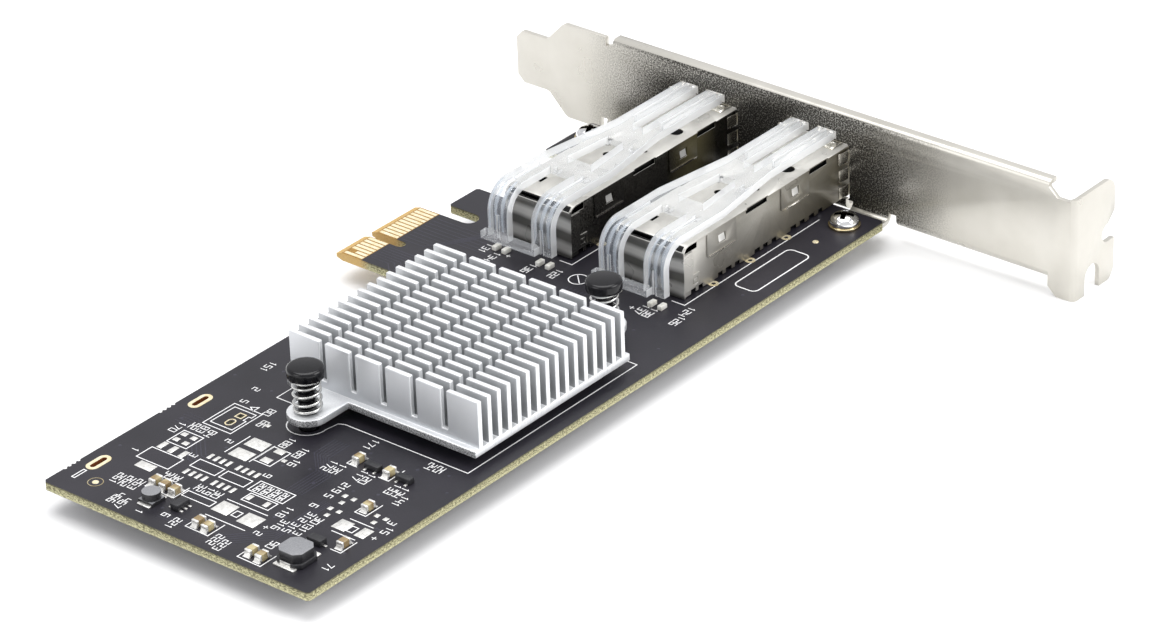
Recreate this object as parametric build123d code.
from build123d import *
import os

# A dual-port fibre network interface card for a server's expansion slot: one board with an edge
# connector, a full-height slot bracket, two pluggable-module cages with clear light pipes, a
# cross-cut heatsink held by two sprung push pins, and the small parts of the board's far end.
#
# Card datum, used for every size below (millimetres):
#   X = 0 at the bracket's inner face, +X out through the bracket
#   Y = 0 at the board's top edge, +Y towards the edge connector
#   Z = 0 at the board's component side, +Z away from the board
# The last section moves the whole card so that its box stands centred on the origin.

# Small rounds are prisms with this many sides, which keeps the pieces that repeat light
FINE_SIDES = 24
PLAIN_SIDES = 16
COARSE_SIDES = 8

# Board
BOARD_THICKNESS = 1.5
BOARD_LENGTH = 146.2
BOARD_GAP_TO_BRACKET = 3.3
BOARD_CORNER = 0.5
MAIN_EDGE_Y = 55.6
FINGER_EDGE_Y = 68.9
FINGER_BEVEL_LENGTH = 1.3
FINGER_BEVEL_DEPTH = 0.4
KEY_TO_BRACKET = 57.6
KEY_WIDTH = 1.9
KEY_DEPTH = 8.25
LONG_CONTACT_RUN = 11.2
SHORT_CONTACT_RUN = 7.2
HOOK_SLOT_WIDTH = 3.55
HOOK_SLOT_END_Y = 56.4
HOOK_LENGTH = 7.6
HOOK_TIP_Y = 64.2
HOOK_CORNER = 0.4
RECESS_LENGTH = 18.4
RECESS_BOTTOM_Y = 58.4
BRACKET_END_EDGE_Y = 64.0
BREAKAWAY_DISTANCES = (4.9, 26.6)
BREAKAWAY_BITE_RADIUS = 0.35
BREAKAWAY_BITE_PITCH = 1.0
BREAKAWAY_BITE_COUNT = 4

# Gold contacts of the edge connector
CONTACT_PITCH = 1.0
CONTACT_WIDTH = 0.7
CONTACT_HEIGHT = 0.04
LONG_RUN_CONTACTS = 11
SHORT_RUN_CONTACTS = 7
KEY_TO_FIRST_CONTACT = 1.5
CONTACT_INNER_Y = 63.4
CONTACT_END_GAP = 1.5
PRESENCE_CONTACT_SHORTER_BY = 1.6

# Bracket: one folded sheet
SHEET = 0.86
BRACKET_LENGTH = 120.02
TONGUE_END_Y = 83.5
TONGUE_WIDTH = 10.19
TONGUE_ROOT_Y = 76.4
TONGUE_CORNER = 1.4
FACE_WIDTH = 18.42
FACE_CENTRE_Z = 6.55
SHOULDER_Y = 72.4
SHOULDER_RADIUS = 1.6
LIP_TOP_Y = 61.3
LIP_RELIEF_LENGTH = 1.5
LIP_BOTTOM_Y = -31.2
LIP_DEPTH = 2.3
LIP_BEND_RADIUS = 0.8
TAB_REACH = 11.8
TAB_LOW_Z = -5.5
TAB_HIGH_Z = 13.5
TAB_BEND_RADIUS = 0.7
TAB_NECK = 0.45
TAB_CORNER = 2.4
TAB_ROOT_LENGTH = 3.4
SCREW_SLOT_WIDTH = 4.42
SCREW_SLOT_CENTRE_X = 5.3
SCREW_SLOT_END_Z = -0.4
ALIGN_NOTCH_Z = 3.6
ALIGN_NOTCH_RADIUS = 1.65
ALIGN_NOTCH_DEPTH = 3.7
ALIGN_NOTCH_MOUTH = 6.2
FLANGE_LENGTH = 11.6
FLANGE_BEND_RADIUS = 1.2
FLANGE_SPANS = ((1.4, 9.0), (55.4, 63.0))
FLANGE_RELIEF_WIDTH = 1.5
FLANGE_CORNER = 1.2

# Screws that hold the bracket's two flanges under the board
BRACKET_SCREW_PLACES = ((-8.3, 4.7), (-8.3, 60.2))
SCREW_SHANK_DIAMETER = 2.9
SCREW_HEAD_DIAMETER = 5.0
SCREW_HEAD_HEIGHT = 1.8
SCREW_HEAD_EDGE = 0.8
SCREW_CROWN_DIAMETER = 3.4
SCREW_TIP_BELOW_FLANGE = 0.9
SCREW_RECESS_WIDTH = 0.8
SCREW_RECESS_SPAN = 2.8
SCREW_RECESS_DEPTH = 1.1
WASHER_DIAMETER = 5.6
WASHER_THICKNESS = 0.5
CLEARANCE = 0.1
BEYOND = 1.0

# Cages for pluggable modules
PORT_CENTRES_Y = (17.4, 41.4)
CAGE_WIDTH = 14.25
CAGE_LENGTH = 48.7
CAGE_FRONT_X = 3.6
CAGE_REAR_X = CAGE_FRONT_X - CAGE_LENGTH
CAGE_TOP_Z = 9.8
CAGE_SHEET = 0.3
CAGE_STANDOFF = 0.2
CAGE_REAR_RADIUS = 1.6
CAGE_SIDE_FLAPS = ((CAGE_REAR_X + 6.5, CAGE_REAR_X + 14.3), (CAGE_REAR_X + 26.7, CAGE_REAR_X + 34.5))
CAGE_FLAP_LOW_Z = 5.3
LATCH_WINDOW_WIDTH = 2.0
LATCH_WINDOW_HEIGHT = 1.6
LATCH_WINDOW_Z = 7.4
CAGE_EDGE_SLOTS = ((CAGE_REAR_X + 17.3, CAGE_REAR_X + 23.1), (CAGE_REAR_X + 34.7, CAGE_REAR_X + 39.9))
CAGE_EDGE_SLOT_DROP = 0.9
CAGE_PIN_PITCH = 10.0
CAGE_PIN_FIRST_X = CAGE_REAR_X + 7.5
CAGE_PINS_PER_SIDE = 3
CAGE_PIN_WIDTH = 0.6
CAGE_PIN_BELOW_BOARD = 1.1
CAGE_PIN_HOLE = 1.05
CAGE_TOP_HOLES = ((CAGE_REAR_X + 19.4, 0.4, 1.8), (CAGE_REAR_X + 23.8, 3.5, 1.0),
                  (CAGE_REAR_X + 23.8, -4.1, 1.0), (CAGE_REAR_X + 32.7, -3.9, 2.5))
LIFT_TAB_X = CAGE_REAR_X + 5.7
LIFT_TAB_Y = 4.1
LIFT_TAB_SIZE = 2.0
REAR_SLOT_WIDTH = 3.9
REAR_LATCH_Z = (1.2, 3.7)
REAR_LATCH_LENGTH = 4.3
REAR_STRAP_WIDTH = 2.5
REAR_GAP_LENGTH = 4.0
REAR_WINDOW_WIDTH = 1.2
REAR_WINDOW_HEIGHT = 1.1
CONNECTOR_OPENING_LENGTH = 13.5

# Spring fingers round each cage's mouth
SPRING_SHEET = 0.15
SPRING_SETBACK = 0.2
SPRING_BAND_WIDTH = 1.5
SPRING_FINGER_LENGTH = 4.3
SPRING_FINGER_WIDTH = 2.2
SPRING_SIDE_COUNT = 3
SPRING_TOP_COUNT = 3
MOUTH_CLEARANCE = 0.55
MOUTH_CORNER = 0.5

# Edge-card connector inside each cage
CONNECTOR_WIDTH = 11.8
CONNECTOR_LENGTH = 9.4
CONNECTOR_HEIGHT = 6.2
CONNECTOR_FRONT_X = CAGE_REAR_X + 12.1
CONNECTOR_SLOT_HEIGHT = 1.4
CONNECTOR_SLOT_WIDTH = 9.6
CONNECTOR_SLOT_DEPTH = 6.0
CONNECTOR_SLOT_Z = 3.9
CONNECTOR_CONTACTS = 10
CONNECTOR_CONTACT_PITCH = 0.8
CONNECTOR_CONTACT_WIDTH = 0.35
CONNECTOR_CONTACT_THICKNESS = 0.25

# Light pipes
PIPE_WALL = 1.5
PIPE_TOP_Z = 12.1
PIPE_REAR_X = CAGE_REAR_X - 5.0
PIPE_BEND_RADIUS = 5.0
PIPE_ARM_WIDTH = 4.3
PIPE_ARM_OFFSET = 4.75
PIPE_ARM_LOW_Z = 2.4
PIPE_GROOVE_WIDTH = 0.5
PIPE_GROOVE_DEPTH = 0.4
PIPE_BRIDGE_X = (CAGE_REAR_X + 6.7, CAGE_REAR_X + 11.2)
PIPE_NECK_X = CAGE_REAR_X + 21.1
PIPE_PRONG_START_X = CAGE_REAR_X + 27.1
PIPE_PRONG_OFFSET = 2.9
PIPE_PRONG_WIDTH = 3.6
PIPE_PRONG_SLIT = 0.6
PIPE_SHOULDER_GAP = 0.3
PIPE_TIP_X = 1.0
PIPE_TIP_SIZE = 1.1
PIPE_CROSSBAR_Z = (2.6, 4.0)
PIPE_CROSSBAR_DEPTH = 1.5
PIPE_CROSSBAR_SPAN = (-4.4, 7.4)
PIPE_PEG_WIDTH = 1.1
PIPE_HOLE_CLEARANCE = 0.2

# Status lights under the light pipes' arms
LED_LENGTH = 1.6
LED_WIDTH = 0.9
LED_HEIGHT = 0.8
LED_SPACING = 2.1

# Heatsink, its push pins and the controller below it
HEATSINK_CENTRE = (-87.6, 22.9)
SINK_BASE_LENGTH = 38.6
SINK_BASE_WIDTH = 39.6
SINK_BASE_LOW_Z = 1.8
SINK_BASE_THICKNESS = 1.3
FIN_COUNT = 16
FIN_PITCH = 2.36
FIN_THICKNESS = 0.95
FIN_TOP_Z = 11.4
CROSS_CUTS = 5
CROSS_CUT_WIDTH = 1.2
CROSS_CUT_FLOOR_Z = 4.3
CROSS_CUT_PITCH = 6.35
EAR_OFFSET = (24.9, 10.1)
EAR_RADIUS = 3.5
EAR_NECK_WIDTH = 7.0
PIN_HEAD_DIAMETER = 6.2
PIN_HEAD_TOP_Z = 11.3
PIN_HEAD_HEIGHT = 2.0
PIN_SHAFT_DIAMETER = 3.0
PIN_HOLE_DIAMETER = 3.4
PIN_BARB_DIAMETER = 4.1
PIN_BARB_LENGTH = 2.4
PIN_SPLIT_WIDTH = 0.7
SPRING_COIL_DIAMETER = 4.55
SPRING_WIRE = 0.5
SPRING_TURNS = 4.25
SPRING_FACETS_PER_TURN = 8
CHIP_SIZE = 25.0
CHIP_HEIGHT = 1.5
THERMAL_PAD_SIZE = 22.0

# Small parts at the board's far end: distance from the far edge, then Y
CAPACITOR_SIZE = (2.1, 1.3, 1.2)
CAPACITOR_END = 0.45
CAPACITOR_PLACES = ((9.9, 40.7), (9.8, 38.5), (9.6, 36.3), (5.0, 26.9), (4.7, 24.7), (3.5, 14.5),
                    (3.2, 12.2), (33.7, 19.5), (33.4, 12.9), (23.7, 8.8), (13.4, 4.7))
TRANSISTOR_BODY = (1.3, 2.9, 1.0)
TRANSISTOR_PLACES = ((33.2, 16.1), (33.3, 9.7))
SWITCH_BODY = (2.9, 1.6, 1.1)
SWITCH_PLACE = (7.0, 32.8)
SWITCH_LEAD_PITCH = 0.95
DIODE_BODY = (1.6, 2.8, 1.1)
DIODE_PLACE = (11.6, 8.6)
LEAD_WIDTH = 0.4
LEAD_REACH = 0.6
LEAD_THICKNESS = 0.15
POWER_INDUCTOR_PLACE = (6.2, 7.8)
POWER_INDUCTOR_BASE = 5.2
POWER_INDUCTOR_TOP = 4.2
POWER_INDUCTOR_HEIGHT = 2.5
POWER_INDUCTOR_LEDGE_Z = 0.9
SMALL_INDUCTOR_PLACE = (5.7, 37.6)
SMALL_INDUCTOR_BASE = 3.0
SMALL_INDUCTOR_DIAMETER = 2.6
SMALL_INDUCTOR_HEIGHT = 1.9
TERMINAL_THICKNESS = 0.12

# Bare tinned pads: distance from the far edge, Y, length along X, width along Y
PAD_HEIGHT = 0.05
LARGE_PADS = ((12.8, 45.7, 1.8, 3.4), (28.1, 35.9, 2.6, 3.8), (24.4, 35.9, 2.6, 3.8),
              (10.8, 26.9, 3.1, 3.3), (10.5, 21.2, 3.1, 3.5), (17.8, 8.8, 2.7, 2.6), (17.9, 4.6, 2.7, 1.9))
SMALL_PADS = ((19.1, 48.0, 2.0, 1.0), (19.0, 45.7, 2.0, 1.0), (18.9, 43.3, 2.0, 1.0),
              (23.6, 47.5, 1.0, 1.1), (23.5, 45.4, 1.0, 1.1), (21.7, 47.5, 1.0, 1.1), (21.6, 45.4, 1.0, 1.1),
              (28.5, 31.5, 1.4, 1.8), (25.3, 31.5, 1.4, 1.8), (26.8, 29.1, 0.8, 0.8), (33.4, 38.6, 0.8, 0.9),
              (15.4, 26.0, 1.4, 0.9), (15.4, 22.4, 1.4, 0.9))
THREE_PAD_PLACES = ((23.6, 13.4), (19.5, 12.8), (22.1, 5.5))
EIGHT_PAD_CENTRES = ((18.2, 37.5), (18.2, 31.5))
EIGHT_PAD_ROW_SPACING = 5.6
EIGHT_PAD_PITCH = 1.3
EIGHT_PAD_SIZE = (1.5, 0.65)

# Plated holes
PLATED_SLOT_PLACES = ((9.2, 52.5), (32.8, 52.7))
PLATED_SLOT_HOLE = (3.5, 1.0)
PLATED_SLOT_CORNER = 0.3
HEADER_HOLES = ((30.7, 44.1), (33.0, 44.1))
HEADER_HOLE_DIAMETER = 0.9

# Worked out from the sizes above
BOARD_NEAR_X = -BOARD_GAP_TO_BRACKET
BOARD_FAR_X = BOARD_NEAR_X - BOARD_LENGTH
BOARD_LOW_Z = -BOARD_THICKNESS
KEY_X = -KEY_TO_BRACKET
KEY_HALF = KEY_WIDTH / 2
CONTACTS_END_X = KEY_X + KEY_HALF + LONG_CONTACT_RUN
CONTACTS_FAR_X = KEY_X - KEY_HALF - SHORT_CONTACT_RUN
HOOK_FAR_X = CONTACTS_END_X + HOOK_SLOT_WIDTH
HOOK_NEAR_X = HOOK_FAR_X + HOOK_LENGTH
FACE_LOW_Z = FACE_CENTRE_Z - FACE_WIDTH / 2
FACE_HIGH_Z = FACE_CENTRE_Z + FACE_WIDTH / 2
TAB_OUTER_Y = TONGUE_END_Y - BRACKET_LENGTH
SINK_BASE_TOP_Z = SINK_BASE_LOW_Z + SINK_BASE_THICKNESS
SPRING_BAND_X = (CAGE_FRONT_X - SPRING_SETBACK - SPRING_BAND_WIDTH, CAGE_FRONT_X - SPRING_SETBACK)
CUT_TOP_Z = BEYOND
CUT_LOW_Z = BOARD_LOW_Z - BEYOND
PIN_PLACES = tuple((HEATSINK_CENTRE[0] - side * EAR_OFFSET[0], HEATSINK_CENTRE[1] + side * EAR_OFFSET[1])
                   for side in (1, -1))


def block(x_span, y_span, z_span):
    """A box between two values along each axis."""
    size = (x_span[1] - x_span[0], y_span[1] - y_span[0], z_span[1] - z_span[0])
    return Pos(x_span[0], y_span[0], z_span[0]) * Box(*size, align=(Align.MIN, Align.MIN, Align.MIN))


def centred(x, y, size, low, high):
    """A box with its centre over (x, y), between two heights."""
    return block((x - size[0] / 2, x + size[0] / 2), (y - size[1] / 2, y + size[1] / 2), (low, high))


def prism(x, y, across, sides, low, high):
    """An upright prism between two heights, its size given across its corners."""
    return Pos(x, y, low) * extrude(RegularPolygon(across / 2, sides), high - low)


def from_far(place):
    """Card X and Y of a place given by its distance from the board's far edge."""
    return BOARD_FAR_X + place[0], place[1]


def folded_strip(plane, length_a, length_b, sheet, inner_radius, depth):
    """A strip folded once: its outer corner is at the plane's origin, with one leg along each axis."""
    outer_radius = inner_radius + sheet
    whole = Pos(length_a / 2, length_b / 2) * Rectangle(length_a, length_b)
    corner = whole.vertices().sort_by(lambda v: v.X + v.Y)[0]
    whole = fillet(corner, outer_radius)
    hollow = Pos(sheet + length_a / 2, sheet + length_b / 2) * Rectangle(length_a, length_b)
    corner = hollow.vertices().sort_by(lambda v: v.X + v.Y)[0]
    hollow = fillet(corner, inner_radius)
    return extrude(plane * (whole - hollow), depth)


# Board
def board_outline():
    corners = [
        (BOARD_FAR_X, 0),
        (BOARD_NEAR_X, 0),
        (BOARD_NEAR_X, BRACKET_END_EDGE_Y),
        (HOOK_NEAR_X + RECESS_LENGTH, BRACKET_END_EDGE_Y),
        (HOOK_NEAR_X + RECESS_LENGTH, RECESS_BOTTOM_Y),
        (HOOK_NEAR_X, RECESS_BOTTOM_Y),
        (HOOK_NEAR_X, HOOK_TIP_Y),
        (HOOK_FAR_X, HOOK_TIP_Y),
        (HOOK_FAR_X, MAIN_EDGE_Y),
        (CONTACTS_END_X, MAIN_EDGE_Y),
        (CONTACTS_END_X, FINGER_EDGE_Y),
        (CONTACTS_FAR_X, FINGER_EDGE_Y),
        (CONTACTS_FAR_X, MAIN_EDGE_Y),
        (BOARD_FAR_X, MAIN_EDGE_Y),
    ]
    face = make_face(Polyline(*corners, close=True))
    slot_radius = HOOK_SLOT_WIDTH / 2
    slot_middle_x = (CONTACTS_END_X + HOOK_FAR_X) / 2
    filler = (slot_radius * 2, HOOK_SLOT_END_Y + slot_radius - MAIN_EDGE_Y)
    face += Pos(slot_middle_x, MAIN_EDGE_Y + filler[1] / 2) * Rectangle(*filler)
    face -= Pos(slot_middle_x, HOOK_SLOT_END_Y + slot_radius) * RegularPolygon(slot_radius, FINE_SIDES)
    key_round_y = FINGER_EDGE_Y - KEY_DEPTH + KEY_HALF
    face -= Pos(KEY_X, (key_round_y + FINGER_EDGE_Y) / 2) * Rectangle(KEY_WIDTH, FINGER_EDGE_Y - key_round_y)
    face -= Pos(KEY_X, key_round_y) * RegularPolygon(KEY_HALF, FINE_SIDES)
    for distance in BREAKAWAY_DISTANCES:
        for number in range(BREAKAWAY_BITE_COUNT):
            bite_x = BOARD_FAR_X + distance + number * BREAKAWAY_BITE_PITCH
            face -= Pos(bite_x, MAIN_EDGE_Y) * RegularPolygon(BREAKAWAY_BITE_RADIUS, COARSE_SIDES)
    ends = [v for v in face.vertices() if v.X < BOARD_FAR_X + BEYOND or v.X > BOARD_NEAR_X - BEYOND]
    face = chamfer(ends, BOARD_CORNER)
    hook_tips = [v for v in face.vertices() if abs(v.Y - HOOK_TIP_Y) < 0.01]
    return chamfer(hook_tips, HOOK_CORNER)


def make_pcb():
    board = Pos(0, 0, BOARD_LOW_Z) * extrude(board_outline(), BOARD_THICKNESS)
    for face_z, inward in ((0, -1), (BOARD_LOW_Z, 1)):
        wedge = Polyline((FINGER_EDGE_Y - FINGER_BEVEL_LENGTH, face_z),
                         (FINGER_EDGE_Y + BEYOND, face_z),
                         (FINGER_EDGE_Y, face_z + inward * FINGER_BEVEL_DEPTH), close=True)
        cut = extrude(Plane.YZ * make_face(wedge), CONTACTS_END_X - CONTACTS_FAR_X + 2 * BEYOND)
        board -= Pos(CONTACTS_FAR_X - BEYOND, 0, 0) * cut
    large = [(x, y, SCREW_SHANK_DIAMETER + 2 * CLEARANCE) for x, y in BRACKET_SCREW_PLACES]
    large += [(x, y, PIN_HOLE_DIAMETER) for x, y in PIN_PLACES]
    for x, y, diameter in large:
        board -= prism(x, y, diameter, PLAIN_SIDES, CUT_LOW_Z, CUT_TOP_Z)
    small = [(*from_far(place), HEADER_HOLE_DIAMETER) for place in HEADER_HOLES]
    small += [(x, y, CAGE_PIN_HOLE) for x, y in cage_pin_places()]
    for x, y, diameter in small:
        board -= prism(x, y, diameter, COARSE_SIDES, CUT_LOW_Z, CUT_TOP_Z)
    for place in PLATED_SLOT_PLACES:
        slot = centred(*from_far(place), PLATED_SLOT_HOLE, CUT_LOW_Z, CUT_TOP_Z)
        board -= chamfer(slot.edges().filter_by(Axis.Z), PLATED_SLOT_CORNER)
    return board


def contact_positions():
    """X of every contact, and how much shorter it is than its neighbours."""
    run = [(KEY_X + KEY_TO_FIRST_CONTACT + i * CONTACT_PITCH, 0) for i in range(LONG_RUN_CONTACTS)]
    presence = SHORT_RUN_CONTACTS - 2
    run += [(KEY_X - KEY_TO_FIRST_CONTACT - i * CONTACT_PITCH,
             PRESENCE_CONTACT_SHORTER_BY if i == presence else 0) for i in range(SHORT_RUN_CONTACTS)]
    return run


def make_edge_contacts(low):
    outer_y = FINGER_EDGE_Y - CONTACT_END_GAP
    strips = []
    for x, shorter in contact_positions():
        strips.append(block((x - CONTACT_WIDTH / 2, x + CONTACT_WIDTH / 2),
                            (CONTACT_INNER_Y, outer_y - shorter), (low, low + CONTACT_HEIGHT)))
    return strips


# Bracket
def tongue_and_shoulders():
    tongue_half = TONGUE_WIDTH / 2
    face_half = FACE_WIDTH / 2
    half = [
        (TONGUE_END_Y, tongue_half - TONGUE_CORNER),
        (TONGUE_END_Y - TONGUE_CORNER, tongue_half),
        (TONGUE_ROOT_Y, tongue_half),
        (SHOULDER_Y, face_half),
        (LIP_TOP_Y + LIP_RELIEF_LENGTH, face_half),
        (LIP_TOP_Y + LIP_RELIEF_LENGTH, face_half - LIP_BEND_RADIUS - SHEET),
        (LIP_TOP_Y, face_half - LIP_BEND_RADIUS - SHEET),
    ]
    upper = [(y, FACE_CENTRE_Z + offset) for y, offset in half]
    lower = [(y, FACE_CENTRE_Z - offset) for y, offset in reversed(half)]
    face = make_face(Polyline(*(upper + lower), close=True))
    soft = [v for v in face.vertices() if abs(v.X - SHOULDER_Y) < 0.01 or abs(v.X - TONGUE_ROOT_Y) < 0.01]
    face = fillet(soft, SHOULDER_RADIUS)
    return extrude(Plane.YZ * face, SHEET)


def lipped_face():
    """The face between the shoulders and the tab, with a lip folded out along both long edges."""
    length = LIP_TOP_Y - LIP_BOTTOM_Y
    strips = []
    for side in (1, -1):
        corner = Plane(origin=(0, LIP_TOP_Y, FACE_CENTRE_Z + side * FACE_WIDTH / 2),
                       x_dir=(1, 0, 0), z_dir=(0, side, 0))
        strip = folded_strip(corner, LIP_DEPTH, FACE_WIDTH / 2, SHEET, LIP_BEND_RADIUS, -side * length)
        strips.append(strip)
    return strips[0] + strips[1]


def tab_root():
    corners = [
        (LIP_BOTTOM_Y, FACE_HIGH_Z - LIP_BEND_RADIUS - SHEET),
        (LIP_BOTTOM_Y - TAB_ROOT_LENGTH / 2, TAB_HIGH_Z - TAB_NECK),
        (TAB_OUTER_Y + SHEET + TAB_BEND_RADIUS, TAB_HIGH_Z - TAB_NECK),
        (TAB_OUTER_Y + SHEET + TAB_BEND_RADIUS, TAB_LOW_Z),
        (LIP_BOTTOM_Y - TAB_ROOT_LENGTH / 2, TAB_LOW_Z),
        (LIP_BOTTOM_Y, TAB_LOW_Z + TAB_ROOT_LENGTH / 2),
    ]
    return extrude(Plane.YZ * make_face(Polyline(*corners, close=True)), SHEET)


def folded_tab():
    root = Plane(origin=(0, TAB_OUTER_Y, TAB_LOW_Z), x_dir=(1, 0, 0), z_dir=(0, 0, 1))
    tab = folded_strip(root, TAB_REACH, SHEET + TAB_BEND_RADIUS, SHEET, TAB_BEND_RADIUS,
                       TAB_HIGH_Z - TAB_LOW_Z)
    ends = [e for e in tab.edges().filter_by(Axis.Y) if e.center().X > TAB_REACH - 0.01]
    tab = fillet(ends, TAB_CORNER)
    cut_plane = Plane(origin=(0, TAB_OUTER_Y - BEYOND, 0), x_dir=(1, 0, 0), z_dir=(0, 1, 0))
    cut_depth = SHEET + 2 * BEYOND
    slot_radius = SCREW_SLOT_WIDTH / 2
    slot_middle_z = SCREW_SLOT_END_Z - slot_radius
    slot = Pos(SCREW_SLOT_CENTRE_X, -slot_middle_z) * RegularPolygon(slot_radius, FINE_SIDES)
    slot_run = slot_middle_z - TAB_LOW_Z + BEYOND
    slot += Pos(SCREW_SLOT_CENTRE_X, -slot_middle_z + slot_run / 2) * Rectangle(SCREW_SLOT_WIDTH, slot_run)
    tab -= extrude(cut_plane * slot, cut_depth)
    notch_x = TAB_REACH - ALIGN_NOTCH_DEPTH + ALIGN_NOTCH_RADIUS
    notch = Pos(notch_x, -ALIGN_NOTCH_Z) * RegularPolygon(ALIGN_NOTCH_RADIUS, FINE_SIDES)
    mouth = Polyline((notch_x, -ALIGN_NOTCH_Z + ALIGN_NOTCH_RADIUS),
                     (TAB_REACH + BEYOND, -ALIGN_NOTCH_Z + ALIGN_NOTCH_RADIUS),
                     (TAB_REACH + BEYOND, -ALIGN_NOTCH_Z + ALIGN_NOTCH_RADIUS - ALIGN_NOTCH_MOUTH),
                     (notch_x, -ALIGN_NOTCH_Z - ALIGN_NOTCH_RADIUS), close=True)
    notch += make_face(mouth)
    return tab - extrude(cut_plane * notch, cut_depth)


def make_bracket():
    bracket = lipped_face() + tongue_and_shoulders() + tab_root() + folded_tab()
    flange_top = BOARD_LOW_Z
    flange_low = flange_top - SHEET
    for low_y, high_y in FLANGE_SPANS:
        relief = (low_y - FLANGE_RELIEF_WIDTH, high_y + FLANGE_RELIEF_WIDTH)
        bracket -= block((-BEYOND, LIP_DEPTH + BEYOND), relief,
                         (FACE_LOW_Z - BEYOND, flange_top + FLANGE_BEND_RADIUS))
        corner = Plane(origin=(SHEET, low_y, flange_low), x_dir=(-1, 0, 0), z_dir=(0, 1, 0))
        rise = flange_top + FLANGE_BEND_RADIUS - flange_low + SHEET
        flange = folded_strip(corner, FLANGE_LENGTH + SHEET, rise, SHEET, FLANGE_BEND_RADIUS, high_y - low_y)
        ends = flange.edges().filter_by(Axis.Z).sort_by(Axis.X)[:2]
        bracket += chamfer(ends, FLANGE_CORNER)
    for x, y in BRACKET_SCREW_PLACES:
        bracket -= prism(x, y, SCREW_SHANK_DIAMETER + CLEARANCE, PLAIN_SIDES, flange_low - BEYOND,
                         flange_top + CLEARANCE)
    through = SHEET + 2 * BEYOND
    outside = Plane.YZ.offset(-BEYOND)
    for centre_y in PORT_CENTRES_Y:
        mouth = Rectangle(CAGE_WIDTH + 2 * MOUTH_CLEARANCE, CAGE_TOP_Z - CAGE_STANDOFF + 2 * MOUTH_CLEARANCE)
        mouth = chamfer(mouth.vertices(), MOUTH_CORNER)
        bracket -= extrude(outside * Pos(centre_y, (CAGE_TOP_Z + CAGE_STANDOFF) / 2) * mouth, through)
        hole = Rectangle(PIPE_PRONG_WIDTH + 2 * PIPE_HOLE_CLEARANCE, PIPE_TIP_SIZE + 2 * PIPE_HOLE_CLEARANCE)
        for side in (1, -1):
            middle = Pos(centre_y + side * PIPE_PRONG_OFFSET, PIPE_TOP_Z - PIPE_WALL / 2)
            bracket -= extrude(outside * middle * hole, through)
    return bracket


def make_screws():
    """Cross-recessed screws: a sloping crown on a low head, and a shank through both sheets."""
    head_low = WASHER_THICKNESS
    edge_top = head_low + SCREW_HEAD_EDGE
    head_top = head_low + SCREW_HEAD_HEIGHT
    tip = BOARD_LOW_Z - SHEET - SCREW_TIP_BELOW_FLANGE
    screws = []
    for x, y in BRACKET_SCREW_PLACES:
        screw = prism(x, y, SCREW_HEAD_DIAMETER, FINE_SIDES, head_low, edge_top)
        crown = [Pos(x, y, edge_top) * RegularPolygon(SCREW_HEAD_DIAMETER / 2, FINE_SIDES),
                 Pos(x, y, head_top) * RegularPolygon(SCREW_CROWN_DIAMETER / 2, FINE_SIDES)]
        screw += loft(crown, ruled=True)
        screw += prism(x, y, SCREW_SHANK_DIAMETER, PLAIN_SIDES, tip, head_low)
        for span in ((SCREW_RECESS_SPAN, SCREW_RECESS_WIDTH), (SCREW_RECESS_WIDTH, SCREW_RECESS_SPAN)):
            screw -= centred(x, y, span, head_top - SCREW_RECESS_DEPTH, head_top + BEYOND)
        screws.append(screw)
    return screws


def make_washers():
    washers = []
    for x, y in BRACKET_SCREW_PLACES:
        ring = prism(x, y, WASHER_DIAMETER, FINE_SIDES, 0, WASHER_THICKNESS)
        washers.append(ring - prism(x, y, SCREW_SHANK_DIAMETER + 2 * CLEARANCE, PLAIN_SIDES, -BEYOND,
                                    WASHER_THICKNESS + BEYOND))
    return washers


# Cages
def cage_pin_places():
    wall_y = CAGE_WIDTH / 2 - 1.5 * CAGE_SHEET
    return [(CAGE_PIN_FIRST_X + i * CAGE_PIN_PITCH, centre_y + side * wall_y)
            for centre_y in PORT_CENTRES_Y for side in (1, -1) for i in range(CAGE_PINS_PER_SIDE)]


def rear_latch_window(margin):
    """X and Z spans of the small window near the rear, or of the tooth that stands in it."""
    start = CAGE_REAR_X + REAR_STRAP_WIDTH + margin
    low = sum(REAR_LATCH_Z) / 2 - REAR_WINDOW_HEIGHT / 2 + margin
    size = (REAR_WINDOW_WIDTH - 2 * margin, REAR_WINDOW_HEIGHT - 2 * margin)
    return (start, start + size[0]), (low, low + size[1])


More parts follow.
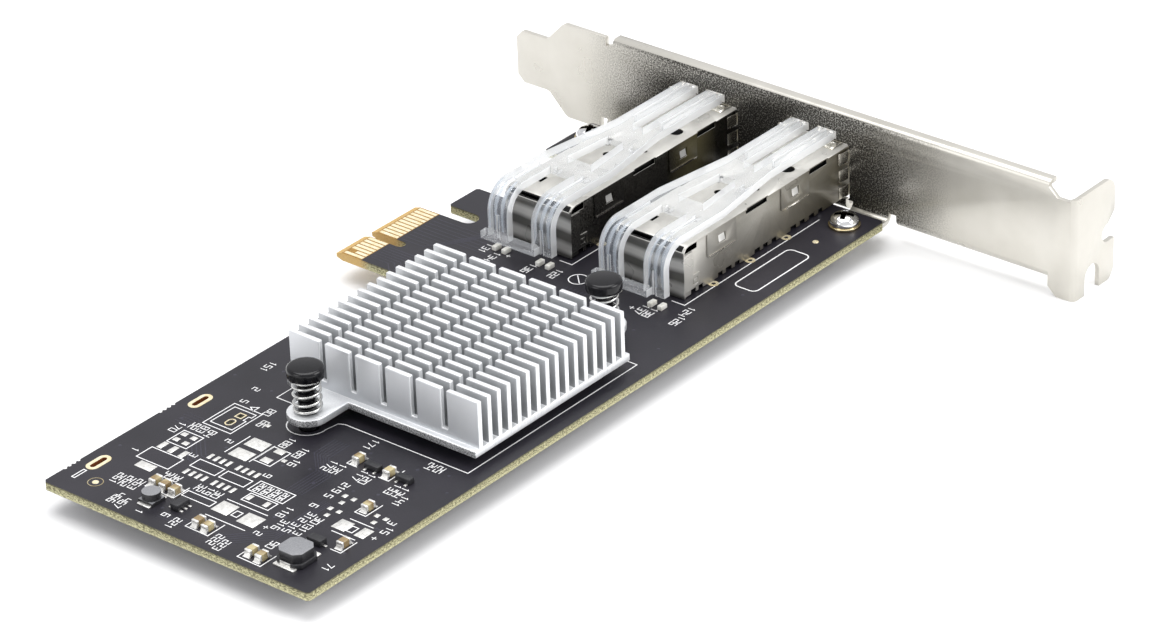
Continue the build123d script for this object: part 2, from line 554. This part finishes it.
def make_cage_base(centre_y):
    """The cage's lower half: a floor and two walls, with press-fit pins into the board."""
    wall_y = CAGE_WIDTH / 2 - CAGE_SHEET
    top = CAGE_TOP_Z - CAGE_SHEET
    rear = CAGE_REAR_X + CAGE_SHEET
    inside = (CAGE_SHEET - wall_y, wall_y - CAGE_SHEET)
    base = block((rear, CAGE_FRONT_X), (-wall_y, wall_y), (CAGE_STANDOFF, top))
    base -= block((rear - BEYOND, CAGE_FRONT_X + BEYOND), inside, (CAGE_STANDOFF + CAGE_SHEET, top + BEYOND))
    base -= block((rear - BEYOND, rear + CONNECTOR_OPENING_LENGTH), inside, (CAGE_STANDOFF - BEYOND, top))
    base -= block((rear - BEYOND, CAGE_REAR_X + REAR_GAP_LENGTH), (-CAGE_WIDTH, CAGE_WIDTH),
                  (CAGE_TOP_Z - CAGE_REAR_RADIUS, top + BEYOND))
    for side in (1, -1):
        outer = side * wall_y
        for start, end in CAGE_SIDE_FLAPS:
            middle = (start + end) / 2
            half = LATCH_WINDOW_WIDTH / 2 - CLEARANCE
            low = LATCH_WINDOW_Z - LATCH_WINDOW_HEIGHT / 2 + CLEARANCE
            wedge = Polyline((outer, low), (outer + side * CAGE_SHEET, low),
                             (outer, low + LATCH_WINDOW_HEIGHT - 2 * CLEARANCE), close=True)
            base += Pos(middle - half, 0, 0) * extrude(Plane.YZ * make_face(wedge), 2 * half)
        for start, end in CAGE_EDGE_SLOTS:
            ends = sorted((outer - side * CAGE_SHEET * 2, outer + side * CAGE_SHEET))
            base -= block((start, end), ends, (top - CAGE_EDGE_SLOT_DROP, top + BEYOND))
        tooth = sorted((outer, outer + side * CAGE_SHEET))
        base += block(rear_latch_window(CLEARANCE)[0], tooth, rear_latch_window(CLEARANCE)[1])
        for number in range(CAGE_PINS_PER_SIDE):
            pin_x = CAGE_PIN_FIRST_X + number * CAGE_PIN_PITCH
            pin_y = side * (wall_y - CAGE_SHEET / 2)
            base += centred(pin_x, pin_y, (CAGE_PIN_WIDTH, CAGE_SHEET),
                            BOARD_LOW_Z - CAGE_PIN_BELOW_BOARD, CAGE_STANDOFF)
            base += centred(pin_x, pin_y, (3 * CAGE_PIN_WIDTH, CAGE_SHEET), 0, CAGE_STANDOFF)
    return Pos(0, centre_y, 0) * base


def make_cage_cover(centre_y):
    """The cage's upper half: roof and curved rear wall in one sheet, with flaps down both sides."""
    half = CAGE_WIDTH / 2
    corner = Plane(origin=(CAGE_REAR_X, -half, CAGE_TOP_Z), x_dir=(1, 0, 0), z_dir=(0, 1, 0))
    cover = folded_strip(corner, CAGE_LENGTH, CAGE_TOP_Z - CAGE_STANDOFF, CAGE_SHEET,
                         CAGE_REAR_RADIUS - CAGE_SHEET, CAGE_WIDTH)
    for side in (1, -1):
        wall = sorted((side * half, side * (half - CAGE_SHEET)))
        for start, end in CAGE_SIDE_FLAPS:
            middle = (start + end) / 2
            flap = block((start, end), wall, (CAGE_FLAP_LOW_Z, CAGE_TOP_Z))
            window = (middle - LATCH_WINDOW_WIDTH / 2, middle + LATCH_WINDOW_WIDTH / 2)
            window_low = LATCH_WINDOW_Z - LATCH_WINDOW_HEIGHT / 2
            flap -= block(window, (wall[0] - BEYOND, wall[1] + BEYOND),
                          (window_low, window_low + LATCH_WINDOW_HEIGHT))
            cover += flap
        for start, end in CAGE_EDGE_SLOTS:
            edge = sorted((side * (half + BEYOND), side * (half - CAGE_SHEET)))
            cover -= block((start, end), edge, (CAGE_TOP_Z - 2 * CAGE_SHEET, CAGE_TOP_Z + BEYOND))
        strap = block((CAGE_REAR_X, CAGE_REAR_X + REAR_STRAP_WIDTH), wall,
                      (REAR_LATCH_Z[0], CAGE_TOP_Z - CAGE_REAR_RADIUS))
        ear = block((CAGE_REAR_X, CAGE_REAR_X + REAR_LATCH_LENGTH), wall, REAR_LATCH_Z)
        window = rear_latch_window(0)
        ear -= block(window[0], (wall[0] - BEYOND, wall[1] + BEYOND), window[1])
        cover += ear + strap
    above = (CAGE_TOP_Z - BEYOND, CAGE_TOP_Z + BEYOND)
    for x, y, diameter in CAGE_TOP_HOLES:
        cover -= prism(x, y, diameter, PLAIN_SIDES, *above)
    cover -= centred(LIFT_TAB_X, LIFT_TAB_Y, (LIFT_TAB_SIZE, LIFT_TAB_SIZE), *above)
    cover -= block((CAGE_REAR_X - BEYOND, CAGE_REAR_X + CAGE_REAR_RADIUS / 2), (0, REAR_SLOT_WIDTH),
                   (CAGE_TOP_Z - CAGE_REAR_RADIUS / 2, CAGE_TOP_Z + BEYOND))
    return Pos(0, centre_y, 0) * cover


def spring_profile(direction):
    """One bowed finger, seen edge on: along X, bulging to one side of the band."""
    start = SPRING_BAND_X[0]
    end = start - SPRING_FINGER_LENGTH
    crest = (start + end) / 2
    bulge = MOUTH_CLEARANCE - SPRING_SHEET - CLEARANCE
    outer = [(start, SPRING_SHEET), (crest, SPRING_SHEET + bulge), (end, SPRING_SHEET)]
    inner = [(end, 0), (crest, bulge), (start, 0)]
    points = [(x, direction * y) for x, y in outer + inner]
    return make_face(Polyline(*points, close=True))


def make_cage_springs(centre_y):
    half = CAGE_WIDTH / 2
    low, high = CAGE_STANDOFF, CAGE_TOP_Z
    reach = SPRING_SHEET
    band = block(SPRING_BAND_X, (-half - reach, half + reach), (low - reach, high + reach))
    band -= block((SPRING_BAND_X[0] - BEYOND, SPRING_BAND_X[1] + BEYOND), (-half, half), (low, high))
    side_pitch = (high - low) / SPRING_SIDE_COUNT
    top_pitch = CAGE_WIDTH / SPRING_TOP_COUNT
    for number in range(SPRING_SIDE_COUNT):
        middle = low + (number + 0.5) * side_pitch
        for side in (1, -1):
            plane = Plane(origin=(0, side * half, middle + SPRING_FINGER_WIDTH / 2), x_dir=(1, 0, 0),
                          z_dir=(0, 0, 1))
            band += extrude(plane * spring_profile(side), -SPRING_FINGER_WIDTH)
    for number in range(SPRING_TOP_COUNT):
        middle = -half + (number + 0.5) * top_pitch
        for level, direction in ((high, 1), (low, -1)):
            plane = Plane(origin=(0, middle + SPRING_FINGER_WIDTH / 2, level), x_dir=(1, 0, 0),
                          z_dir=(0, -1, 0))
            band += extrude(plane * spring_profile(direction), SPRING_FINGER_WIDTH)
    return Pos(0, centre_y, 0) * band


def make_port_connector(centre_y):
    length = (CONNECTOR_FRONT_X - CONNECTOR_LENGTH, CONNECTOR_FRONT_X)
    body = block(length, (-CONNECTOR_WIDTH / 2, CONNECTOR_WIDTH / 2), (0, CONNECTOR_HEIGHT))
    slot_low = CONNECTOR_SLOT_Z - CONNECTOR_SLOT_HEIGHT / 2
    body -= centred(CONNECTOR_FRONT_X, 0, (2 * CONNECTOR_SLOT_DEPTH, CONNECTOR_SLOT_WIDTH),
                    slot_low, slot_low + CONNECTOR_SLOT_HEIGHT)
    return Pos(0, centre_y, 0) * body


def make_port_contacts(centre_y):
    """Two rows of spring contacts, each flat on its wall of the slot."""
    first = -(CONNECTOR_CONTACTS - 1) / 2 * CONNECTOR_CONTACT_PITCH
    slot_low = CONNECTOR_SLOT_Z - CONNECTOR_SLOT_HEIGHT / 2
    slot_high = CONNECTOR_SLOT_Z + CONNECTOR_SLOT_HEIGHT / 2
    contacts = []
    for number in range(CONNECTOR_CONTACTS):
        y = first + number * CONNECTOR_CONTACT_PITCH
        width = (y - CONNECTOR_CONTACT_WIDTH / 2, y + CONNECTOR_CONTACT_WIDTH / 2)
        run = (CONNECTOR_FRONT_X - CONNECTOR_SLOT_DEPTH, CONNECTOR_FRONT_X - 1)
        contacts.append(block(run, width, (slot_low, slot_low + CONNECTOR_CONTACT_THICKNESS)))
        contacts.append(block(run, width, (slot_high - CONNECTOR_CONTACT_THICKNESS, slot_high)))
    return [Pos(0, centre_y, 0) * contact for contact in contacts]


# Light pipe
def pipe_side_profile():
    """Upright arm, bend and top run, seen along Y."""
    rise = PIPE_TOP_Z - PIPE_ARM_LOW_Z
    corner = Plane(origin=(PIPE_REAR_X, 0, PIPE_TOP_Z), x_dir=(1, 0, 0), z_dir=(0, 1, 0))
    return corner, rise


def pipe_plan():
    """The light pipe seen from above: two arms, a bridge, a neck and two split prongs."""
    plan = None
    shoulder_x = -PIPE_SHOULDER_GAP
    for side in (1, -1):
        inner = side * (PIPE_ARM_OFFSET - PIPE_ARM_WIDTH / 2)
        outer = side * (PIPE_ARM_OFFSET + PIPE_ARM_WIDTH / 2)
        prong_inner = side * (PIPE_PRONG_OFFSET - PIPE_PRONG_WIDTH / 2)
        prong_outer = side * (PIPE_PRONG_OFFSET + PIPE_PRONG_WIDTH / 2)
        run = Polyline((PIPE_REAR_X, inner), (PIPE_REAR_X, outer), (PIPE_BRIDGE_X[1], outer),
                       (PIPE_PRONG_START_X, prong_outer), (shoulder_x, prong_outer),
                       (shoulder_x, prong_inner), (PIPE_PRONG_START_X, prong_inner),
                       (PIPE_BRIDGE_X[1], inner), close=True)
        plan = make_face(run) if plan is None else plan + make_face(run)
    bridge_middle = sum(PIPE_BRIDGE_X) / 2
    bridge_length = PIPE_BRIDGE_X[1] - PIPE_BRIDGE_X[0]
    plan += Pos(bridge_middle, 0) * Rectangle(bridge_length, 2 * PIPE_ARM_OFFSET)
    neck_length = PIPE_PRONG_START_X - PIPE_NECK_X
    plan += Pos(PIPE_NECK_X + neck_length / 2, 0) * Rectangle(neck_length, 2 * PIPE_PRONG_OFFSET)
    slit_start = PIPE_PRONG_START_X + neck_length / 2
    for side in (1, -1):
        slit = Rectangle(shoulder_x - slit_start, PIPE_PRONG_SLIT)
        plan -= Pos((slit_start + shoulder_x) / 2, side * PIPE_PRONG_OFFSET) * slit
    return plan


def make_light_pipe(centre_y):
    corner, rise = pipe_side_profile()
    half_width = PIPE_ARM_OFFSET + PIPE_ARM_WIDTH / 2
    sheet = folded_strip(corner, -PIPE_REAR_X, rise, PIPE_WALL, PIPE_BEND_RADIUS - PIPE_WALL, 2 * half_width)
    sheet = Pos(0, -half_width, 0) * sheet
    pipe = sheet & extrude(pipe_plan(), PIPE_TOP_Z + BEYOND)
    groove_end = PIPE_REAR_X + PIPE_BEND_RADIUS
    for side in (1, -1):
        y = side * PIPE_ARM_OFFSET
        groove = (y - PIPE_GROOVE_WIDTH / 2, y + PIPE_GROOVE_WIDTH / 2)
        pipe -= block((PIPE_REAR_X - BEYOND, PIPE_REAR_X + PIPE_GROOVE_DEPTH), groove,
                      (PIPE_ARM_LOW_Z - BEYOND, PIPE_TOP_Z - PIPE_BEND_RADIUS))
        pipe -= block((groove_end, PIPE_BRIDGE_X[0]), groove,
                      (PIPE_TOP_Z - PIPE_GROOVE_DEPTH, PIPE_TOP_Z + BEYOND))
    edge = (PIPE_PRONG_WIDTH - PIPE_TIP_SIZE) / 2
    tip_low = PIPE_TOP_Z - (PIPE_WALL + PIPE_TIP_SIZE) / 2
    tip_z = (tip_low, tip_low + PIPE_TIP_SIZE)
    half_tip = PIPE_TIP_SIZE / 2
    for offset in (PIPE_PRONG_OFFSET, -PIPE_PRONG_OFFSET):
        for y in (offset + edge, offset - edge):
            pipe += block((-PIPE_SHOULDER_GAP, PIPE_TIP_X), (y - half_tip, y + half_tip), tip_z)
    pipe += block((PIPE_REAR_X - PIPE_CROSSBAR_DEPTH, PIPE_REAR_X), PIPE_CROSSBAR_SPAN, PIPE_CROSSBAR_Z)
    foot_low = CAGE_TOP_Z
    foot_high = PIPE_TOP_Z - PIPE_WALL
    peg = (PIPE_PEG_WIDTH, PIPE_PEG_WIDTH)
    for x in (sum(PIPE_BRIDGE_X) / 2, PIPE_NECK_X + PIPE_PEG_WIDTH):
        for side in (1, -1):
            pipe += centred(x, side * PIPE_PRONG_OFFSET, peg, foot_low, foot_high)
    return Pos(0, centre_y, 0) * pipe


def make_status_leds():
    lights = []
    x = PIPE_REAR_X + PIPE_WALL / 2
    for centre_y in PORT_CENTRES_Y:
        for side in (1, -1):
            for half in (0.5, -0.5):
                y = centre_y + side * PIPE_ARM_OFFSET + half * LED_SPACING
                lights.append(centred(x, y, (LED_LENGTH, LED_WIDTH), 0, LED_HEIGHT))
    return lights


# Cooling
def sink_base():
    x, y = HEATSINK_CENTRE
    outline = Pos(x, y) * Rectangle(SINK_BASE_LENGTH, SINK_BASE_WIDTH)
    for pin_x, pin_y in PIN_PLACES:
        side = 1 if pin_x < x else -1
        reach_x = pin_x + side * EAR_NECK_WIDTH
        outline += Pos(pin_x, pin_y) * RegularPolygon(EAR_RADIUS, FINE_SIDES)
        outline += Pos((pin_x + reach_x) / 2, pin_y) * Rectangle(EAR_NECK_WIDTH, 2 * EAR_RADIUS)
        outline -= Pos(pin_x, pin_y) * RegularPolygon(PIN_SHAFT_DIAMETER / 2 + CLEARANCE, PLAIN_SIDES)
    return Pos(0, 0, SINK_BASE_LOW_Z) * extrude(outline, SINK_BASE_THICKNESS)


def make_heatsink():
    """A base with fins along Y, cut across into rows of teeth."""
    centre_x, centre_y = HEATSINK_CENTRE
    sink = sink_base()
    first_fin = centre_x - (FIN_COUNT - 1) / 2 * FIN_PITCH
    for number in range(FIN_COUNT):
        sink += centred(first_fin + number * FIN_PITCH, centre_y, (FIN_THICKNESS, SINK_BASE_WIDTH),
                        SINK_BASE_TOP_Z, FIN_TOP_Z)
    first_cut = centre_y - (CROSS_CUTS - 1) / 2 * CROSS_CUT_PITCH
    for number in range(CROSS_CUTS):
        y = first_cut + number * CROSS_CUT_PITCH
        sink -= centred(centre_x, y, (2 * SINK_BASE_LENGTH, CROSS_CUT_WIDTH), CROSS_CUT_FLOOR_Z,
                        FIN_TOP_Z + BEYOND)
    return sink


def make_push_pins():
    """Round heads on faceted shafts, each with a split barb below the board."""
    pins = []
    head_low = PIN_HEAD_TOP_Z - PIN_HEAD_HEIGHT
    barb_top = BOARD_LOW_Z - CLEARANCE
    tip = BOARD_LOW_Z - PIN_BARB_LENGTH
    for x, y in PIN_PLACES:
        pin = prism(x, y, PIN_HEAD_DIAMETER, FINE_SIDES, head_low, PIN_HEAD_TOP_Z)
        pin += prism(x, y, PIN_SHAFT_DIAMETER, PLAIN_SIDES, tip, head_low)
        ends = [Pos(x, y, tip) * RegularPolygon(PIN_SHAFT_DIAMETER / 2, PLAIN_SIDES),
                Pos(x, y, barb_top) * RegularPolygon(PIN_BARB_DIAMETER / 2, PLAIN_SIDES)]
        pin += loft(ends, ruled=True)
        pin -= centred(x, y, (2 * PIN_BARB_DIAMETER, PIN_SPLIT_WIDTH), tip - BEYOND, BOARD_LOW_Z)
        pins.append(pin)
    return pins


def faceted_coil(radius, wire, height, turns):
    """A coil of square wire in straight facets, standing on the origin."""
    steps = round(turns * SPRING_FACETS_PER_TURN)
    rings = []
    for number in range(steps + 1):
        angle = number * 360 / SPRING_FACETS_PER_TURN
        low = (height - wire) * number / steps
        corners = ((-wire / 2, 0), (wire / 2, 0), (wire / 2, wire), (-wire / 2, wire))
        ring = [Vector(radius + reach, 0, low + rise) for reach, rise in corners]
        rings.append([corner.rotate(Axis.Z, angle) for corner in ring])
    faces = [Face(Wire.make_polygon(rings[0])), Face(Wire.make_polygon(reversed(rings[-1])))]
    for near, far in zip(rings, rings[1:]):
        for side in range(4):
            first, second = near[side], near[(side + 1) % 4]
            third, fourth = far[(side + 1) % 4], far[side]
            faces.append(Face(Wire.make_polygon([first, third, second])))
            faces.append(Face(Wire.make_polygon([first, fourth, third])))
    return Solid(Shell(faces))


def make_push_pin_springs():
    height = PIN_HEAD_TOP_Z - PIN_HEAD_HEIGHT - SINK_BASE_TOP_Z
    radius = (SPRING_COIL_DIAMETER - SPRING_WIRE) / 2
    coil = faceted_coil(radius, SPRING_WIRE, height, SPRING_TURNS)
    return [Pos(x, y, SINK_BASE_TOP_Z) * coil for x, y in PIN_PLACES]


def make_controller_chip():
    return centred(*HEATSINK_CENTRE, (CHIP_SIZE, CHIP_SIZE), 0, CHIP_HEIGHT)


def make_thermal_pad():
    return centred(*HEATSINK_CENTRE, (THERMAL_PAD_SIZE, THERMAL_PAD_SIZE), CHIP_HEIGHT, SINK_BASE_LOW_Z)


# Small parts of the far end
def make_capacitors():
    length, width, height = CAPACITOR_SIZE
    bodies = []
    ends = []
    for place in CAPACITOR_PLACES:
        x, y = from_far(place)
        middle = length - 2 * CAPACITOR_END
        bodies.append(centred(x, y, (middle, width), 0, height))
        for side in (1, -1):
            end_x = x + side * (middle + CAPACITOR_END) / 2
            ends.append(centred(end_x, y, (CAPACITOR_END, width), 0, height))
    return bodies, ends


def leads(x, y, side, body_half, offsets, along_x):
    """Flat leads out of one side of a body, resting on the board."""
    made = []
    for offset in offsets:
        middle = side * (body_half + LEAD_REACH / 2)
        place = (x + middle, y + offset) if along_x else (x + offset, y + middle)
        size = (LEAD_REACH, LEAD_WIDTH) if along_x else (LEAD_WIDTH, LEAD_REACH)
        made.append(centred(*place, size, 0, LEAD_THICKNESS))
    return made


def make_semiconductors():
    bodies = []
    pins = []
    pitch = SWITCH_LEAD_PITCH
    for place in TRANSISTOR_PLACES:
        x, y = from_far(place)
        bodies.append(centred(x, y, TRANSISTOR_BODY[:2], 0, TRANSISTOR_BODY[2]))
        pins += leads(x, y, -1, TRANSISTOR_BODY[0] / 2, (pitch, -pitch), True)
        pins += leads(x, y, 1, TRANSISTOR_BODY[0] / 2, (0,), True)
    x, y = from_far(SWITCH_PLACE)
    bodies.append(centred(x, y, SWITCH_BODY[:2], 0, SWITCH_BODY[2]))
    for side in (1, -1):
        pins += leads(x, y, side, SWITCH_BODY[1] / 2, (-pitch, 0, pitch), False)
    x, y = from_far(DIODE_PLACE)
    bodies.append(centred(x, y, DIODE_BODY[:2], 0, DIODE_BODY[2]))
    for side in (1, -1):
        pins += leads(x, y, side, DIODE_BODY[1] / 2, (0,), False)
    return bodies, pins


def make_power_inductor():
    x, y = from_far(POWER_INDUCTOR_PLACE)
    base = centred(x, y, (POWER_INDUCTOR_BASE, POWER_INDUCTOR_BASE), 0, POWER_INDUCTOR_LEDGE_Z)
    corner = (POWER_INDUCTOR_BASE - POWER_INDUCTOR_TOP) * 0.9
    base = chamfer(base.edges().filter_by(Axis.Z), corner)
    top = centred(x, y, (POWER_INDUCTOR_TOP, POWER_INDUCTOR_TOP), POWER_INDUCTOR_LEDGE_Z,
                  POWER_INDUCTOR_HEIGHT)
    top = chamfer(top.edges().filter_by(Axis.Z), corner)
    terminals = []
    for side in (1, -1):
        outer = x + side * (POWER_INDUCTOR_BASE / 2 + TERMINAL_THICKNESS / 2)
        terminals.append(centred(outer, y, (TERMINAL_THICKNESS, POWER_INDUCTOR_TOP / 2), 0,
                                 POWER_INDUCTOR_LEDGE_Z))
    return base, top, terminals


def make_small_inductor():
    x, y = from_far(SMALL_INDUCTOR_PLACE)
    foot = centred(x, y, (SMALL_INDUCTOR_BASE, SMALL_INDUCTOR_BASE), 0, SMALL_INDUCTOR_HEIGHT / 3)
    return foot + prism(x, y, SMALL_INDUCTOR_DIAMETER, FINE_SIDES, 0, SMALL_INDUCTOR_HEIGHT)


def make_solder_pads():
    pads = []
    for distance, y, length, width in LARGE_PADS + SMALL_PADS:
        pads.append(centred(BOARD_FAR_X + distance, y, (length, width), 0, PAD_HEIGHT))
    for distance, y in THREE_PAD_PLACES:
        for offset_x, offset_y in ((0.9, 0.9), (0.9, -0.9), (-0.9, 0)):
            pads.append(centred(BOARD_FAR_X + distance + offset_x, y + offset_y, (0.9, 0.8), 0, PAD_HEIGHT))
    for distance, y in EIGHT_PAD_CENTRES:
        for side in (1, -1):
            for number in range(4):
                pad_x = BOARD_FAR_X + distance + side * EIGHT_PAD_ROW_SPACING / 2
                pad_y = y + (number - 1.5) * EIGHT_PAD_PITCH
                pads.append(centred(pad_x, pad_y, EIGHT_PAD_SIZE, 0, PAD_HEIGHT))
    return pads


# Nodes
capacitor_bodies, capacitor_ends = make_capacitors()
semiconductor_bodies, semiconductor_leads = make_semiconductors()
inductor_base, inductor_top, inductor_terminals = make_power_inductor()
nodes = {
    "pcb": make_pcb(),
    "edge_contacts_component_side": make_edge_contacts(0),
    "edge_contacts_solder_side": make_edge_contacts(BOARD_LOW_Z - CONTACT_HEIGHT),
    "bracket": make_bracket(),
    "bracket_screws": make_screws(),
    "bracket_washers": make_washers(),
    "heatsink": make_heatsink(),
    "push_pins": make_push_pins(),
    "push_pin_springs": make_push_pin_springs(),
    "controller_chip": make_controller_chip(),
    "thermal_pad": make_thermal_pad(),
    "status_leds": make_status_leds(),
    "capacitor_bodies": capacitor_bodies,
    "capacitor_ends": capacitor_ends,
    "semiconductor_bodies": semiconductor_bodies,
    "semiconductor_leads": semiconductor_leads,
    "power_inductor_base": inductor_base,
    "power_inductor_core": inductor_top,
    "power_inductor_terminals": inductor_terminals,
    "small_inductor": make_small_inductor(),
    "solder_pads": make_solder_pads(),
}
for number, centre_y in enumerate(PORT_CENTRES_Y, 1):
    nodes["cage_base_%d" % number] = make_cage_base(centre_y)
    nodes["cage_cover_%d" % number] = make_cage_cover(centre_y)
    nodes["cage_springs_%d" % number] = make_cage_springs(centre_y)
    nodes["port_connector_%d" % number] = make_port_connector(centre_y)
    nodes["port_contacts_%d" % number] = make_port_contacts(centre_y)
    nodes["light_pipe_%d" % number] = make_light_pipe(centre_y)

# The card's box stands centred on the origin
to_origin = Pos(-(BOARD_FAR_X + TAB_REACH) / 2, -(TONGUE_END_Y + TAB_OUTER_Y) / 2, -TAB_LOW_Z)
os.makedirs("parts", exist_ok=True)
for name, shape in nodes.items():
    solids = shape if isinstance(shape, list) else [shape]
    placed = [to_origin * solid for solid in solids]
    export_step(placed[0] if len(placed) == 1 else Compound(children=placed), "parts/%s.step" % name)
    print(name, len(placed))
